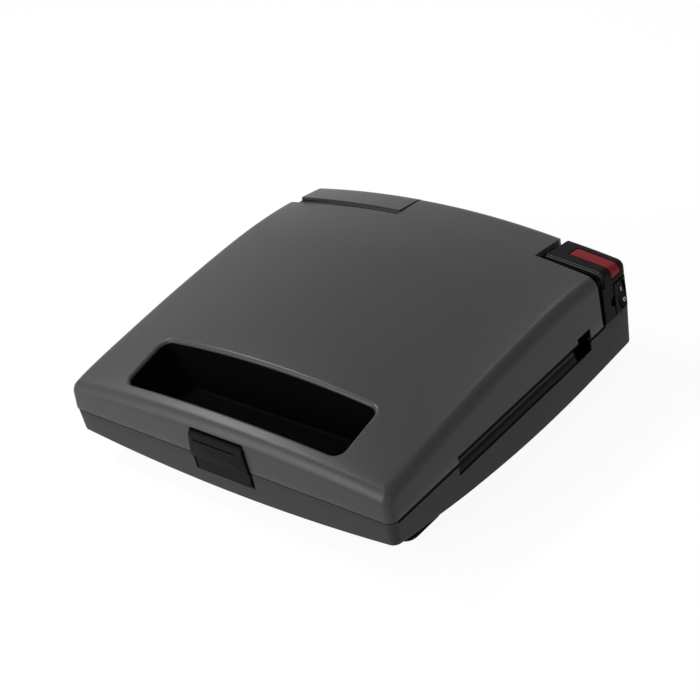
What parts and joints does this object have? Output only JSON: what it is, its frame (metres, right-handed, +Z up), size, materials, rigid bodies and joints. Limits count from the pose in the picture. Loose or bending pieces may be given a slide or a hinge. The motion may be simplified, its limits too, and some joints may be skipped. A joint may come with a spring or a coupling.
{
  "type": "sandwich maker",
  "caption": "Hinged-lid sandwich toaster with a finger well and a rocking latch at the front, a switch and lamp tower at the rear corner and pocketed cooking plates",
  "frame": {"origin": "On the table under the middle of the housings, at the height of the feet's undersides.", "axes": "+X to the right as seen from the latch, +Y to the hinge at the back, +Z up."},
  "size_m": [0.2906, 0.2824, 0.0982],
  "materials": {
    "lid_plastic": "fine grained moulding",
    "base_plastic": "fine grained moulding",
    "tower_plastic": "satin moulding",
    "latch_plastic": "satin moulding",
    "switch_plastic": "smooth moulding",
    "frame_plastic": "heat resistant moulding",
    "red_lens": "clear tinted moulding",
    "lamp_glass": "glow lamp",
    "plate_coating": "smooth non-stick coating",
    "element_sheath": "heat darkened sheath",
    "reflector_sheet": "bright rolled sheet",
    "steel": "bright plated",
    "ceramic": "unglazed ceramic",
    "foot_rubber": "soft moulding",
    "bush_rubber": "soft moulding"
  },
  "bodies": {
    "base": {"lower_housing": "base_plastic", "lower_frame": "frame_plastic", "lower_plate": "plate_coating", "lower_element": "element_sheath", "lower_reflector": "reflector_sheet", "thermostat": "ceramic", "thermal_fuse": "steel", "terminal_block": "ceramic", "cord_bush": "bush_rubber", "hinge_cover": "lid_plastic", "control_tower": "tower_plastic", "switch_panel": "tower_plastic", "switch_body": "switch_plastic", "indicator_lens": "red_lens", "indicator_lamp": "lamp_glass", "hinge_pin_left": "steel", "hinge_pin_right": "steel", "foot_front_left": "foot_rubber", "foot_front_right": "foot_rubber", "foot_rear_left": "foot_rubber", "foot_rear_right": "foot_rubber", "foot_screw_front_left": "steel", "foot_screw_front_right": "steel", "foot_screw_rear_left": "steel", "foot_screw_rear_right": "steel", "lower_frame_screw_front_left": "steel", "lower_frame_screw_front_right": "steel", "lower_frame_screw_rear_left": "steel", "lower_frame_screw_rear_right": "steel"},
    "lid": {"upper_housing": "lid_plastic", "upper_frame": "frame_plastic", "upper_plate": "plate_coating", "upper_element": "element_sheath", "upper_reflector": "reflector_sheet", "handle_well": "latch_plastic", "latch_pin": "steel", "latch_spring": "steel", "upper_frame_screw_front_left": "steel", "upper_frame_screw_front_right": "steel", "upper_frame_screw_rear_left": "steel", "upper_frame_screw_rear_right": "steel"},
    "latch": {"latch": "latch_plastic"},
    "rocker": {"switch_rocker": "switch_plastic"}
  },
  "joints": [
    {"name": "lid_hinge", "type": "hinge", "parent": "base", "child": "lid", "pos_m": [0, 0.125, 0.077], "axis": [-1, 0, 0], "range_deg": [0, 100]},
    {"name": "latch_pivot", "type": "hinge", "parent": "lid", "child": "latch", "pos_m": [0, -0.1344, 0.052], "axis": [-1, 0, 0], "range_deg": [0, 14], "stiffness_Nm_per_rad": 0.05, "springref_deg": -8.59, "deforming": ["latch_spring"]},
    {"name": "switch_rock", "type": "hinge", "parent": "base", "child": "rocker", "pos_m": [0.1418, 0.1293, 0.0557], "axis": [0, 1, 0], "range_deg": [0, 16]}
  ]
}
